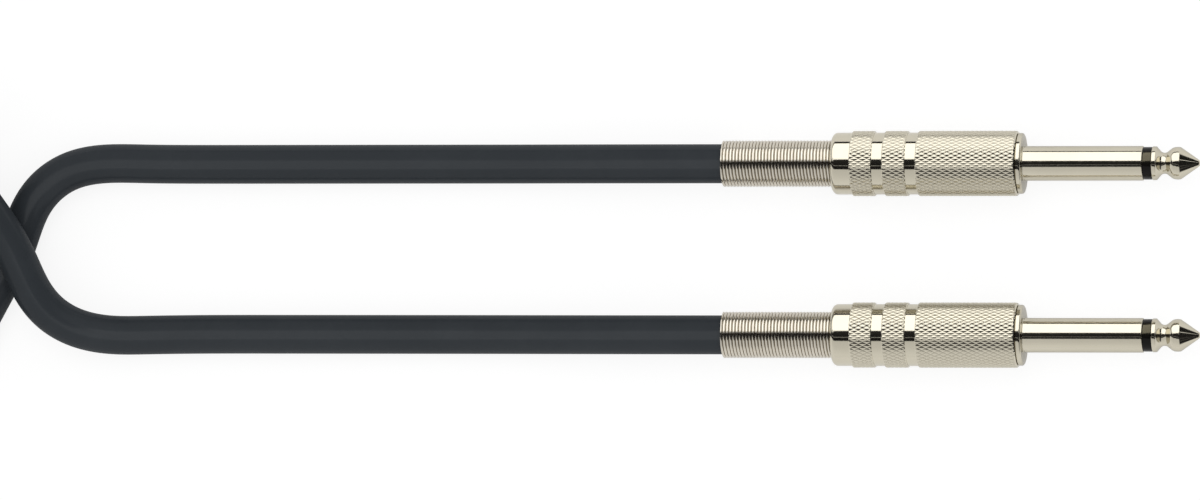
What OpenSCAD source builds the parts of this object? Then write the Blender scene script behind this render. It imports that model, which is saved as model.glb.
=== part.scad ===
// Instrument cable: two straight 6.35 mm plugs on one lead, with the rest of the lead tied in a hank.
// Lengths are in millimetres. Both plugs lie on the plane z = 0 and point along +X.
// In a plug, places along the axis count from the shoulder where the shaft leaves its flange.

/* [Sleeve contact] */
// Diameter of the contact shaft
shaft_d = 6.35; // [6:0.05:6.8]
// Length of the shaft from the shoulder to the black ring
shaft_len = 22.1; // [18:0.1:25]
// Wall of the hollow shaft
shaft_wall = 1.045; // [0.8:0.005:1.2]
// Diameter of the flange
flange_d = 11.2; // [10.6:0.1:11.8]
// Thickness of the flange
flange_len = 1.0; // [0.8:0.1:1.6]
// Rounding of the flange's front edge
flange_round = 0.4; // [0.2:0.1:0.6]
// Diameter of the threaded spigot behind the flange
spigot_d = 9.94; // [9.8:0.02:10]
// Length of the threaded spigot
spigot_len = 6.6; // [6:0.1:7.2]
// Diameter of the boss that carries the ground lug
boss_d = 6.4; // [6:0.1:6.5]
// Height of the lip staked over the ground lug
lip_len = 0.2; // [0.1:0.05:0.3]
// How far the lip stands out over the boss
lip_out = 0.2; // [0.1:0.05:0.3]

/* [Tip contact] */
// Length of the whole tip in front of the black ring
tip_len = 8.8; // [8.2:0.1:9.4]
// Diameter of the collar behind the neck
collar_d = 6.2; // [6:0.05:6.3]
// Length of the straight part of the collar
collar_len = 0.8; // [0.6:0.1:1]
// Diameter of the neck at its bottom
neck_d = 3.86; // [3.4:0.02:4.2]
// Radius of the hollow that forms the neck
neck_r = 1.0; // [0.9:0.05:1.1]
// Place of the bottom of the neck in front of the ring
neck_at = 2.2; // [2.1:0.01:2.3]
// Diameter of the bulb in front of the neck
bulb_d = 5.94; // [5.7:0.02:6.2]
// Radius of the rounding behind the bulb
bulb_r = 1.0; // [0.9:0.05:1.2]
// Place where that rounding ends in front of the ring
bulb_at = 4.1; // [4:0.05:4.3]
// Length of the straight band on the bulb
bulb_len = 1.05; // [0.4:0.05:1.2]
// Radius of the rounded nose
nose_r = 0.8; // [0.5:0.05:1]
// Diameter of the rod that joins the tip to its lug
rod_d = 2.4; // [2:0.1:2.6]
// Diameter of the rivet head on the rod's rear end
rivet_d = 3.6; // [3.2:0.1:4.2]
// Thickness of the rivet head
rivet_len = 0.7; // [0.5:0.1:1]

/* [Insulation] */
// Length of the black ring between tip and sleeve
ring_len = 1.7; // [1.4:0.1:2]
// Diameter of the black ring
ring_d = 6.0; // [5.8:0.05:6.2]
// Diameter of the rear washer
washer_d = 6.8; // [6.4:0.1:6.9]
// Thickness of the rear washer
washer_len = 0.9; // [0.7:0.1:1.2]

/* [Solder lugs] */
// Thickness of the sheet of both lugs
sheet = 0.5; // [0.4:0.02:0.54]
// Diameter of the tip lug's ring
tip_lug_d = 5; // [4.6:0.1:5.4]
// Width of the tip lug's tab
tab_w = 2.6; // [2.2:0.1:3]
// Height of the tab's underside over the plug's axis
tab_z = 1.95; // [1.8:0.05:2]
// Length of the tab behind the rear washer
tab_len = 8.1; // [7.6:0.1:8.4]
// Diameter of the solder eye in the tab
eye_d = 1.3; // [1:0.1:1.5]
// Diameter of the ground lug's ring
ground_lug_d = 8.6; // [8.5:0.02:8.7]
// Width of the ground strip
strip_w = 3.0; // [2.4:0.1:3.1]
// Diameter of the hole in the ground strip
strip_eye_d = 1.6; // [1.2:0.1:1.8]
// Length of the cord clamp along the cable
clamp_len = 4; // [3:0.5:5]
// Angle that the cord clamp leaves open on top
clamp_open = 80; // [50:5:120]

/* [Barrel] */
// Wall of the barrel over its thread, at the knurled bands
barrel_wall = 0.98; // [0.9:0.02:1.5]
// Depth of the grooves between the bands
groove_depth = 0.3; // [0.2:0.05:0.4]
// Length of the front knurled band
front_band = 18.4; // [16:0.1:22]
// Length of the middle knurled band
middle_band = 4.3; // [3:0.1:6]
// Length of the rear knurled band
rear_band = 4.15; // [3:0.05:6]
// Length of each groove
groove_len = 1.9; // [1.2:0.1:2.4]
// Length of the smooth end behind the bands
smooth_end = 3.75; // [3:0.05:5]
// Rounding of the rear edge
rear_round = 1.0; // [0.4:0.1:1]
// Wall at the rear end, which holds the spring's head
end_wall = 2.9; // [2.4:0.1:3.2]
// Wall of the liner in the barrel
liner_wall = 0.35; // [0.25:0.01:0.36]

/* [Bend-relief spring] */
// Thickness of the spring wire
wire_d = 0.6; // [0.55:0.01:0.62]
// Advance of the wire in one turn
spring_pitch = 1.1; // [1.05:0.05:1.6]
// Length of spring that stands out behind the barrel
spring_out = 20.45; // [16:0.05:22]
// How far the captive front turns are flared over the others
spring_flare = 0.32; // [0.25:0.01:0.34]

/* [Cable] */
// Diameter of the jacket
cable_d = 7.2; // [7.1:0.02:7.3]
// Place of the jacket's stripped end behind the shoulder
jacket_end = 24; // [23.5:0.1:25]
// Diameter of the core's insulation
core_d = 2.6; // [2.2:0.1:2.8]
// Diameter of the bare core wire
core_wire_d = 0.9; // [0.7:0.1:1]
// Diameter of the twisted shield
shield_d = 1.4; // [1.1:0.1:1.5]

/* [Hank] */
// Length of the hank's straight runs
hank_run = 81; // [70:1:100]
// Radius of the innermost fold
fold_r = 15.5; // [14:0.5:20]
// Advance of the loops from one turn to the next
loop_step = 7.9; // [7.7:0.1:9]
// How far the runs are drawn in at the waist
waist_in = 9.5; // [4:0.5:10]
// Rise from one layer of loops to the next
layer_rise = 7.5; // [7.5:0.1:9]
// Width of the tie round the waist
tie_w = 16; // [10:1:20]
// Thickness of the tie
tie_t = 1.2; // [0.8:0.1:1.3]

/* [Hidden] */
$fn = 48;

// Clearances: seat is between pieces at rest in one another, thread_fit and liner_fit are radial
seat = 0.03;
solder_gap = 0.01;
thread_fit = 0.05;
liner_fit = 0.05;
spring_fit = 0.05;
face_gap = 0.05;
cable_fit = 0.02;
cut = 1;

// Lengths inside the barrel: thread run-out, room in front of the liner and room for the flared turns
thread_run = 1.3;
liner_room = 0.7;
head_room = 1.7;

// Places along the plug's axis, counted from the shoulder
sleeve_front = shaft_len;
ring_front = sleeve_front + ring_len;
front_len = ring_front + tip_len;
spigot_front = -flange_len;
spigot_rear = spigot_front - spigot_len;
boss_rear = spigot_rear - sheet;
sleeve_rear = boss_rear - lip_len;
washer_rear = sleeve_rear - washer_len;
tip_lug_rear = washer_rear - sheet;
rod_rear = tip_lug_rear - rivet_len;
barrel_front = spigot_front - face_gap;
band_1_rear = barrel_front - front_band;
band_2_front = band_1_rear - groove_len;
band_2_rear = band_2_front - middle_band;
band_3_front = band_2_rear - groove_len;
band_3_rear = band_3_front - rear_band;
barrel_rear = band_3_rear - smooth_end;
thread_rear = spigot_rear - thread_run;
liner_front = boss_rear - liner_room;
head_step = barrel_rear + end_wall;
liner_rear = head_step + head_room;
spring_front = liner_rear - wire_d / 2 - seat;
spring_rear = barrel_rear - spring_out;
rear_len = -spring_rear;

// Radii that fit in one another
rod_bore = rod_d + 2 * seat;
sleeve_bore = shaft_d - 2 * shaft_wall;
tube_d = sleeve_bore - 2 * seat;
barrel_bore = spigot_d + 2 * thread_fit;
barrel_d = barrel_bore + 2 * barrel_wall;
cable_r = cable_d / 2;
clamp_r = cable_r + cable_fit;
// The polygonal spring clears the jacket at the middles of its sides
spring_sides = 8;
wire_flat = wire_d / 2 * cos(30);
spring_r = (cable_r + cable_fit + wire_flat) / cos(180 / spring_sides);
rear_hole_d = 2 * (spring_r + wire_d / 2 + spring_fit);
head_r = spring_r + spring_flare;
liner_bore = 2 * (head_r + wire_d / 2 + spring_fit);
liner_d = liner_bore - 2 * liner_fit;

// Places of the two plugs
plug_y = 15.75;
plug_z = barrel_d / 2;
shoulder_x = (rear_len - front_len) / 2;
cable_x = shoulder_x + spring_rear;

// Solder joints: places of the tab's eye and of the strip's hole, and how the wires lie there
tab_margin = 1.2;
tip_joint_at = washer_rear - tab_len + tab_margin;
ground_joint_at = tip_joint_at + 1.2;
tip_joint_d = 2.3;
ground_joint_d = 2.1;
ground_joint_z = -clamp_r + ground_joint_d / 6;
wire_past_joint = 1.4;
shield_z = -clamp_r + seat + shield_d / 2;
// The core rises straight from the jacket's axis to the tab's underside, bare for its last part
core_bare = 4.2;
core_from = [-jacket_end, 0];
core_to = [tip_joint_at + wire_past_joint, tab_z - seat - core_wire_d / 2];
core_run = core_to - core_from;
core_len = norm(core_run);
core_angle = atan2(core_run[1], core_run[0]);
core_dir = core_run / core_len;

// Each stretch of free cable leaves its plug straight, swings over the floor and runs straight
// into the hank. Between these it follows points chosen by hand, with heights under the cable.
swing_a = [
    [-64, 15.75, 2.5], [-72, 15.75, 1.7], [-80, 15.75, 0.5], [-88, 15.75, 0], [-96, 15.75, 0],
    [-106, 15.75, 0], [-118, 15.75, 0], [-130, 15.75, 0], [-142, 15.75, 0], [-153, 15.8, 0],
    [-160.6, 16.1, 0], [-167, 15.2, 0], [-172, 12.3, 0], [-175.4, 8, 0], [-177.2, 2.8, 0],
    [-178.8, -2, 0], [-181.6, -7, 0], [-184.4, -12, 0], [-187.2, -17.5, 0], [-190.4, -23, 0],
    [-195.6, -27.8, 0], [-202, -30.2, 0]
];
swing_b = [
    [-64, -15.75, 2.5], [-72, -15.75, 1.7], [-80, -15.75, 0.5], [-88, -15.75, 0],
    [-96, -15.75, 0], [-106, -15.75, 0], [-118, -15.75, 0], [-130, -15.75, 0],
    [-142, -15.75, 0], [-153, -15.9, 0.3], [-160, -16.1, 1], [-166.2, -14.9, 2.1],
    [-171, -12, 3.6], [-174, -7.8, 5.2], [-175.8, -2.8, 6.8], [-177.8, 2, 8.3],
    [-180.8, 6.8, 10.5], [-184, 12, 12.9], [-187.2, 17.5, 15.1], [-190.6, 23, 17.1],
    [-195.6, 27.8, 19.1], [-202, 30.2, 20.9], [-208, 30.4, 22.1]
];
run_sides = 12;
back = [-1, 0, 0];

// The hank: loops lie in four layers that spiral in and out, with a climb at each reversal
hank_x = -218;
hank_y = 2;
hank_turns = 7.5;
climbs = [2, 4, 6];
waist_lift = 1.8;
loop_rings = 24;
loop_sides = 6;
run_share = hank_run / 2 / (2 * hank_run + 2 * PI * (fold_r + loop_step));
fold_share = 0.5 - 2 * run_share;
hank_mid = hank_x - hank_run / 2;
tie_gap = 0.1;

// Small chamfers of turned edges, and the larger one on the barrel's front
edge = 0.15;
front_edge = 0.25;

// Basic helpers

function unit(v) = v / norm(v);
function ease(u) = u < 0 ? 0 : u > 1 ? 1 : u * u * (3 - 2 * u);
function total(list, i = 0) = i < len(list) ? list[i] + total(list, i + 1) : 0;

// Points on an arc, as [radius from the axis, place along it]
function arc(centre, r, from, to, steps) = [
    for (i = [0 : steps])
        let (angle = from + (to - from) * i / steps)
            centre + r * [cos(angle), sin(angle)]
];

// Point on the cubic B-spline between the two middle ones of four control points
function spline_point(p, q, r, s, u) =
    (pow(1 - u, 3) * p + (3 * pow(u, 3) - 6 * u * u + 4) * q
     + (-3 * pow(u, 3) + 3 * u * u + 3 * u + 1) * r + pow(u, 3) * s) / 6;

// Points along a route, which starts at its first control point and ends at its last
function spline(points, steps) =
    let (
        n = len(points),
        first = 2 * points[0] - points[1],
        last = 2 * points[n - 1] - points[n - 2],
        all = concat([first], points, [last])
    )
    concat(
        [for (i = [0 : n - 2]) for (k = [0 : steps - 1])
            spline_point(all[i], all[i + 1], all[i + 2], all[i + 3], k / steps)],
        [points[n - 1]]);

function path_length(path) = total([for (i = [1 : len(path) - 1]) norm(path[i] - path[i - 1])]);

// Least distance between the surfaces of points on one tube that are skip or more rings apart
function self_gap(path, skip, d) = min([
    for (i = [0 : len(path) - 1 - skip]) for (j = [i + skip : len(path) - 1])
        norm(path[i] - path[j])
]) - d;

function gap_between(p, q, d) = min([for (a = p) for (b = q) norm(a - b)]) - d;

// Faces of a closed tube through rings of points, all of them triangles
function tube_faces(rings, sides) = concat(
    [for (i = [0 : rings - 2]) for (j = [0 : sides - 1])
        let (a = i * sides + j, b = i * sides + (j + 1) % sides)
            each [[a, b, b + sides], [a, b + sides, a + sides]]],
    [for (j = [1 : sides - 2]) [0, j + 1, j]],
    [for (j = [1 : sides - 2]) (rings - 1) * sides * [1, 1, 1] + [0, j, j + 1]]
);

// Ring of points square to a direction, with one corner on top
function ring(centre, direction, r, sides) =
    let (
        side = unit(cross(direction, [0, 0, 1])),
        up = cross(side, direction)
    )
    [for (j = [0 : sides - 1])
        let (angle = 90 + 360 * j / sides)
            centre + r * (cos(angle) * side + sin(angle) * up)];

// Tube of constant radius along a path, with its end faces square to the given directions
module swept_tube(path, from_dir, to_dir, r, sides) {
    last = len(path) - 1;
    points = [
        for (i = [0 : last])
            let (
                direction = i == 0 ? from_dir
                          : i == last ? to_dir
                          : unit(path[i + 1] - path[i - 1])
            )
            each ring(path[i], direction, r, sides)
    ];
    polyhedron(points = points, faces = tube_faces(last + 1, sides));
}

// Solid of revolution about +X from points given as [radius, place]
module turned(profile) {
    rotate([0, 90, 0]) rotate_extrude() polygon(profile);
}

// Round bar about the plug's axis between two places
module bar(d, rear, front) {
    translate([rear, 0, 0]) rotate([0, 90, 0]) cylinder(d = d, h = front - rear);
}

// Straight wire that starts at [place, height] and rises towards +X
module rising(from, angle, length, d) {
    translate([from[0], 0, from[1]]) rotate([0, 90 - angle, 0]) cylinder(d = d, h = length);
}

module at_plug(side) {
    translate([shoulder_x, side * plug_y, plug_z]) children();
}

// Tip contact

nose_centre = [0, tip_len - nose_r];
bulb_corner = [bulb_d / 2, bulb_at + bulb_len];
to_nose = nose_centre - bulb_corner;
cone_angle = atan2(to_nose[1], to_nose[0]) - asin(nose_r / norm(to_nose));
neck_centre = [neck_d / 2 + neck_r, neck_at];
tip_profile = concat(
    [[0, 0], [collar_d / 2, 0], [collar_d / 2, collar_len]],
    arc(neck_centre, neck_r, 234, 135, 9),
    arc([bulb_d / 2 - bulb_r, bulb_at], bulb_r, -45, 0, 5),
    [bulb_corner],
    arc(nose_centre, nose_r, cone_angle - 90, 90, 6));

module tip() {
    color("#cfc8ba") {
        translate([ring_front, 0, 0]) turned(tip_profile);
        bar(rod_d, rod_rear, ring_front + cut / 2);
        bar(rivet_d, rod_rear, tip_lug_rear);
    }
}

// Insulation between the contacts

module insulator_ring() {
    color("#1c1c1e") difference() {
        bar(ring_d, sleeve_front, ring_front);
        bar(rod_bore, sleeve_front - cut, ring_front + cut);
    }
}

module insulator_tube() {
    color("#2a2a2c") difference() {
        bar(tube_d, sleeve_rear, sleeve_front);
        bar(rod_bore, sleeve_rear - cut, sleeve_front + cut);
    }
}

module rear_washer() {
    color("#2a2a2c") difference() {
        bar(washer_d, washer_rear, sleeve_rear);
        bar(rod_bore, washer_rear - cut, sleeve_rear + cut);
    }
}

// Sleeve contact: shaft, flange, spigot and the boss staked over the ground lug

spigot_lead = 0.4;
sleeve_profile = concat(
    [[0, sleeve_rear], [0, sleeve_front], [shaft_d / 2 - edge, sleeve_front],
     [shaft_d / 2, sleeve_front - edge], [shaft_d / 2, 0]],
    arc([flange_d / 2 - flange_round, -flange_round], flange_round, 90, 0, 6),
    [[flange_d / 2, spigot_front + edge], [flange_d / 2 - edge, spigot_front],
     [spigot_d / 2, spigot_front], [spigot_d / 2, spigot_rear + spigot_lead],
     [spigot_d / 2 - spigot_lead, spigot_rear], [boss_d / 2, spigot_rear],
     [boss_d / 2, boss_rear], [boss_d / 2 + lip_out, boss_rear],
     [boss_d / 2 + lip_out, sleeve_rear]]);

module sleeve() {
    color("#d8d2c6") difference() {
        turned(sleeve_profile);
        bar(sleeve_bore, sleeve_rear - cut, sleeve_front + cut);
    }
}

// Solder lugs

module tip_lug() {
    tab_top = tab_z + sheet;
    color("#cdb98a") difference() {
        union() {
            bar(tip_lug_d, tip_lug_rear, washer_rear);
            translate([washer_rear - tab_len, -tab_w / 2, tab_z])
                cube([tab_len, tab_w, sheet]);
        }
        bar(rod_bore, tip_lug_rear - cut, washer_rear + cut);
        translate([tip_joint_at, 0, tab_z - cut])
            cylinder(d = eye_d, h = tab_top - tab_z + 2 * cut);
    }
}

module ground_lug() {
    clamp_rear = -jacket_end - 6;
    clamp_front = clamp_rear + clamp_len;
    color("#cdb98a") difference() {
        union() {
            bar(ground_lug_d, boss_rear, spigot_rear);
            translate([clamp_rear, -strip_w / 2, -clamp_r - sheet])
                cube([spigot_rear - clamp_rear, strip_w, sheet]);
            difference() {
                bar(2 * (clamp_r + sheet), clamp_rear, clamp_front);
                bar(2 * clamp_r, clamp_rear - cut, clamp_front + cut);
                clamp_gap(clamp_rear - cut, clamp_front + cut);
            }
        }
        bar(boss_d + 2 * seat, boss_rear - cut, spigot_rear + cut);
        translate([ground_joint_at, 0, -clamp_r - sheet - cut])
            cylinder(d = strip_eye_d, h = sheet + 2 * cut);
    }
}

// Wedge that opens the cord clamp on top
module clamp_gap(rear, front) {
    reach = 3 * clamp_r;
    half = clamp_open / 2;
    translate([rear, 0, 0]) rotate([90, 0, 90]) linear_extrude(front - rear)
        polygon([[0, 0], [reach * sin(half), reach * cos(half)],
                 [-reach * sin(half), reach * cos(half)]]);
}

// Cable's end in the plug, stripped to its core and shield

module cable_end() {
    color("#33383c") bar(cable_d, spring_rear, -jacket_end);
}

module core() {
    color("#e4e0d4") difference() {
        rising(core_from - cut * core_dir, core_angle, core_len - core_bare + cut, core_d);
        translate([core_from[0] - 3 * cut, 0, 0])
            cube([6 * cut, 2 * core_d, 2 * core_d], center = true);
    }
}

module core_wire() {
    color("#b5774a")
        rising(core_to - core_bare * core_dir, core_angle, core_bare, core_wire_d);
}

module shield() {
    color("#b5774a") shield_bar(shield_d);
}

module shield_bar(d) {
    translate([0, 0, shield_z]) bar(d, -jacket_end, ground_joint_at + wire_past_joint);
}

// One drop of solder through the tab's eye and one through the strip's hole
module solder() {
    color("#a9abad") {
        difference() {
            translate([tip_joint_at, 0, tab_z]) sphere(d = tip_joint_d);
            difference() {
                translate([washer_rear - tab_len - cut, -tab_w, tab_z - solder_gap])
                    cube([tab_len + 2 * cut, 2 * tab_w, sheet + 2 * solder_gap]);
                translate([tip_joint_at, 0, tab_z - cut])
                    cylinder(d = eye_d - 2 * solder_gap, h = sheet + 2 * cut);
            }
            rising(core_to - core_bare * core_dir, core_angle, core_bare,
                   core_wire_d + 2 * solder_gap);
        }
        difference() {
            translate([ground_joint_at, 0, ground_joint_z]) sphere(d = ground_joint_d);
            difference() {
                translate([ground_joint_at, 0, -clamp_r - sheet / 2])
                    cube([2 * strip_w, 2 * strip_w, sheet + 2 * solder_gap], center = true);
                translate([ground_joint_at, 0, -clamp_r - sheet - cut])
                    cylinder(d = strip_eye_d - 2 * solder_gap, h = sheet + 2 * cut);
            }
            shield_bar(shield_d + 2 * solder_gap);
        }
    }
}

// Barrel and liner

// Outline of one raised band, from its front to its rear
function band(front, rear, nose = edge) = [
    [barrel_d / 2 - groove_depth, front],
    [barrel_d / 2 - nose, front],
    [barrel_d / 2, front - nose],
    [barrel_d / 2, rear + edge],
    [barrel_d / 2 - edge, rear],
    [barrel_d / 2 - groove_depth, rear]
];

barrel_profile = concat(
    [[0, barrel_front]],
    band(barrel_front, band_1_rear, front_edge),
    band(band_2_front, band_2_rear),
    band(band_3_front, band_3_rear),
    arc([barrel_d / 2 - groove_depth - rear_round, barrel_rear + rear_round], rear_round, 0, -90, 6),
    [[0, barrel_rear]]);

module barrel() {
    color("#d8d2c6") difference() {
        turned(barrel_profile);
        bar(barrel_bore, thread_rear, barrel_front + cut);
        bar(liner_bore, head_step, thread_rear + cut);
        bar(rear_hole_d, barrel_rear - cut, head_step + cut);
    }
}

module liner() {
    color("#b9b3a4") difference() {
        bar(liner_d, liner_rear, liner_front);
        bar(liner_d - 2 * liner_wall, liner_rear - cut, liner_front + cut);
    }
}

// Bend-relief spring: flared front turns held in the barrel, then a plain coil to the rear end

spring_turns = floor((spring_front - spring_rear - wire_d / 2) / spring_pitch * spring_sides)
             / spring_sides;
spring_step = (spring_front - spring_rear - wire_d / 2) / spring_turns;

function coil_radius(turn) = head_r - spring_flare * ease(2 * turn - 1);
function coil_point(turn) =
    [spring_front - spring_step * turn,
     coil_radius(turn) * cos(360 * turn),
     coil_radius(turn) * sin(360 * turn)];
coil_path = [for (i = [0 : spring_turns * spring_sides]) coil_point(i / spring_sides)];

module spring() {
    points = [
        for (i = [0 : len(coil_path) - 1]) for (j = [0 : 5])
            let (
                turn = i / spring_sides,
                outward = [0, cos(360 * turn), sin(360 * turn)],
                angle = 30 + 60 * j
            )
            coil_path[i] + wire_d / 2 * (cos(angle) * outward + sin(angle) * [1, 0, 0])
    ];
    color("#cfc9bd") polyhedron(points = points, faces = tube_faces(len(coil_path), 6));
}

// Free cable

function plug_end(side) = [for (d = [0, 6, 12]) [cable_x - d, side * plug_y, plug_z]];
function hank_end(t, steps) = [for (d = steps) hank_point(t) + [d, 0, 0]];
function lying(points) = [for (p = points) p + [0, 0, cable_r]];

route_a = concat(plug_end(1), lying(swing_a), hank_end(-run_share, [10, 5, 0]));
route_b = concat(plug_end(-1), lying(swing_b), hank_end(hank_turns + run_share, [5, 0]));
path_a = spline(route_a, 1);
path_b = spline(route_b, 1);

module cable_run(path) {
    color("#33383c") swept_tube(path, back, back, cable_r, run_sides);
}

// Radius of the fold that turn t of the hank is on
function loop_radius(t) = fold_r + loop_step *
    (t < climbs[0] ? climbs[0] - t
     : t < climbs[1] ? t - climbs[0]
     : t < climbs[2] ? climbs[2] - t
     : t - climbs[2]);

// Height of the cable's axis over the floor, before the lift at the waist
function loop_height(t) = cable_r + layer_rise
    * total([for (c = climbs) ease((t - c + run_share) / (2 * run_share))]);

// Point on a straight run, at x from the waist, on the side of -Y or +Y
function run_point(t, x, side) =
    let (
        drawn = pow(cos(180 * x / hank_run), 2),
        y = side * (loop_radius(t) - waist_in * drawn)
    )
    [hank_mid + x, hank_y + y, loop_height(t) + waist_lift * drawn];

// Point on a fold, at an angle from -Y, at the left or right end
function fold_point(t, angle, end) =
    [hank_mid + end * (hank_run / 2 + loop_radius(t) * sin(angle)),
     hank_y + end * loop_radius(t) * cos(angle),
     loop_height(t)];

function hank_point(t) =
    let (f = t - floor(t))
    f < run_share ? run_point(t, -f / run_share * hank_run / 2, -1)
    : f < run_share + fold_share
        ? fold_point(t, (f - run_share) / fold_share * 180, -1)
    : f < 3 * run_share + fold_share
        ? run_point(t, ((f - run_share - fold_share) / run_share - 1) * hank_run / 2, 1)
    : f < 3 * run_share + 2 * fold_share
        ? fold_point(t, (f - 3 * run_share - fold_share) / fold_share * 180, 1)
    : run_point(t, (1 - f) / run_share * hank_run / 2, -1);

hank_turn_list = concat(
    [-run_share],
    [for (i = [ceil(-run_share * loop_rings) : floor((hank_turns + run_share) * loop_rings)])
        i / loop_rings],
    [hank_turns + run_share]);
hank_path = [for (t = hank_turn_list) hank_point(t)];

module cable_hank() {
    color("#33383c") swept_tube(hank_path, back, -back, cable_r, loop_sides);
}

// Point on the faceted cable between two of its rings
function strand(t) =
    let (i = floor(t * loop_rings), u = t * loop_rings - i)
    (1 - u) * hank_point(i / loop_rings) + u * hank_point((i + 1) / loop_rings);

// Tie: a strap with the outline that a band pulled round the strands takes
module hank_tie() {
    edge_turn = tie_w / 2 / (hank_run / 2) * run_share;
    strands = [for (k = [0 : 0.5 : hank_turns]) for (s = [-1, 0, 1]) strand(k + s * edge_turn)];
    color("#202124") translate([hank_mid - tie_w / 2, 0, 0]) rotate([90, 0, 90])
        linear_extrude(tie_w) difference() {
            strap_outline(strands, cable_r + tie_gap + tie_t);
            strap_outline(strands, cable_r + tie_gap);
        }
}

module strap_outline(strands, r) {
    hull() for (p = strands) translate([p[1], p[2]]) circle(r = r, $fn = 32);
}

echo(route_a_length = path_length(spline(route_a, 8)), route_b_length = path_length(spline(route_b, 8)),
     hank_length = path_length([for (i = [0 : 3000]) hank_point(-run_share
         + i / 3000 * (hank_turns + 2 * run_share))]));
echo(hank_least_gap = self_gap(hank_path, loop_rings / 2, cable_d),
     spring_least_gap = self_gap(coil_path, spring_sides / 2, wire_d),
     runs_least_gap = gap_between(path_a, path_b, cable_d));

at_plug(1) tip();  // plug_a_tip
at_plug(1) insulator_ring();  // plug_a_insulator_ring
at_plug(1) insulator_tube();  // plug_a_insulator_tube
at_plug(1) sleeve();  // plug_a_sleeve
at_plug(1) rear_washer();  // plug_a_rear_washer
at_plug(1) tip_lug();  // plug_a_tip_lug
at_plug(1) ground_lug();  // plug_a_ground_lug
at_plug(1) liner();  // plug_a_liner
at_plug(1) barrel();  // plug_a_barrel
at_plug(1) spring();  // plug_a_spring
at_plug(1) cable_end();  // plug_a_cable_end
at_plug(1) core();  // plug_a_core
at_plug(1) core_wire();  // plug_a_core_wire
at_plug(1) shield();  // plug_a_shield
at_plug(1) solder();  // plug_a_solder
at_plug(-1) tip();  // plug_b_tip
at_plug(-1) insulator_ring();  // plug_b_insulator_ring
at_plug(-1) insulator_tube();  // plug_b_insulator_tube
at_plug(-1) sleeve();  // plug_b_sleeve
at_plug(-1) rear_washer();  // plug_b_rear_washer
at_plug(-1) tip_lug();  // plug_b_tip_lug
at_plug(-1) ground_lug();  // plug_b_ground_lug
at_plug(-1) liner();  // plug_b_liner
at_plug(-1) barrel();  // plug_b_barrel
at_plug(-1) spring();  // plug_b_spring
at_plug(-1) cable_end();  // plug_b_cable_end
at_plug(-1) core();  // plug_b_core
at_plug(-1) core_wire();  // plug_b_core_wire
at_plug(-1) shield();  // plug_b_shield
at_plug(-1) solder();  // plug_b_solder
cable_run(path_a);  // cable_run_a
cable_hank();
cable_run(path_b);  // cable_run_b
hank_tie();
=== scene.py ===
import math
import bmesh
import bpy
import numpy as np
from mathutils import Matrix, Vector
from mathutils.geometry import convex_hull_2d


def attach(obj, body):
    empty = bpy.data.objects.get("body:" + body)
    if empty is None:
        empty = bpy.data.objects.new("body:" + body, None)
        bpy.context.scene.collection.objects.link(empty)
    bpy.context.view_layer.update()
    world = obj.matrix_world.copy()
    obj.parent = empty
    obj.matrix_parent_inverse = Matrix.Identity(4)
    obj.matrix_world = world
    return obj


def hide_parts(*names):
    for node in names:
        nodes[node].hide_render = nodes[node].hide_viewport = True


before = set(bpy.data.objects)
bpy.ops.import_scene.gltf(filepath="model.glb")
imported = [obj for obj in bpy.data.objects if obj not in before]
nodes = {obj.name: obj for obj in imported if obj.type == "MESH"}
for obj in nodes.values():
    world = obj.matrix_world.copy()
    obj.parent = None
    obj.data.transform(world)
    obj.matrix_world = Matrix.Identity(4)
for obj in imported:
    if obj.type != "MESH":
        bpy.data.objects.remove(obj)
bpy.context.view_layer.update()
scene = bpy.context.scene
print("frame loaded,", len(nodes), "nodes")

# Sizes are in millimetres and become metres when a mesh or a pattern is made
mm = 0.001
plugs = {
    "shoulder": 11.65,  # x of the shoulder, from which places along a plug are counted
    "height": 6.0,
    "across": {"a": 15.75, "b": -15.75},
}


# sRGB hex to the linear colour that a shader takes
def linearColour(code):
    parts = [int(code[i:i + 2], 16) / 255 for i in (0, 2, 4)]
    return [p / 12.92 if p <= 0.04045 else ((p + 0.055) / 1.055) ** 2.4 for p in parts] + [1.0]


# One node with its settings; each of its inputs gets a value, a socket or a node's first output
def addNode(tree, kind, links=(), **settings):
    node = tree.nodes.new(kind)
    for name, value in settings.items():
        setattr(node, name, value)
    for key, value in links.items() if isinstance(links, dict) else enumerate(links):
        if isinstance(value, bpy.types.Node):
            value = value.outputs[0]
        if isinstance(value, bpy.types.NodeSocket):
            tree.links.new(value, node.inputs[key])
        else:
            node.inputs[key].default_value = value
    return node


# An empty material and its tree of nodes
def newFinish(name):
    finish = bpy.data.materials.new(name)
    finish.use_nodes = True
    finish.node_tree.nodes.clear()
    return finish, finish.node_tree


# The shader of a finish, with plain values on its own sockets. Patterns give it a mix of two tones as
# (pattern, hex, hex), a roughness as (pattern, low, high) and a relief as (pattern, strength, mm).
def addShader(tree, values, tones=None, rough=None, relief=None):
    values = dict(values)
    if tones:
        mixed = addNode(tree, "ShaderNodeMix", {0: tones[0], 6: linearColour(tones[1]),
                                                7: linearColour(tones[2])}, data_type="RGBA")
        values["Base Color"] = mixed.outputs[2]
    if rough:
        inputs = ("Value", "To Min", "To Max", "From Min", "From Max")
        values["Roughness"] = addNode(tree, "ShaderNodeMapRange", dict(zip(inputs, rough)))
    if relief:
        values["Normal"] = addNode(tree, "ShaderNodeBump", {
            "Height": relief[0], "Strength": relief[1], "Distance": relief[2] * mm})
    shader = addNode(tree, "ShaderNodeBsdfPrincipled", values)
    addNode(tree, "ShaderNodeOutputMaterial", {"Surface": shader})


# Smooth shading, with hard edges over the given angle
def shadeMesh(mesh, sharp):
    mesh.shade_smooth()
    mesh.set_sharp_from_angle(angle=math.radians(sharp))


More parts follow.
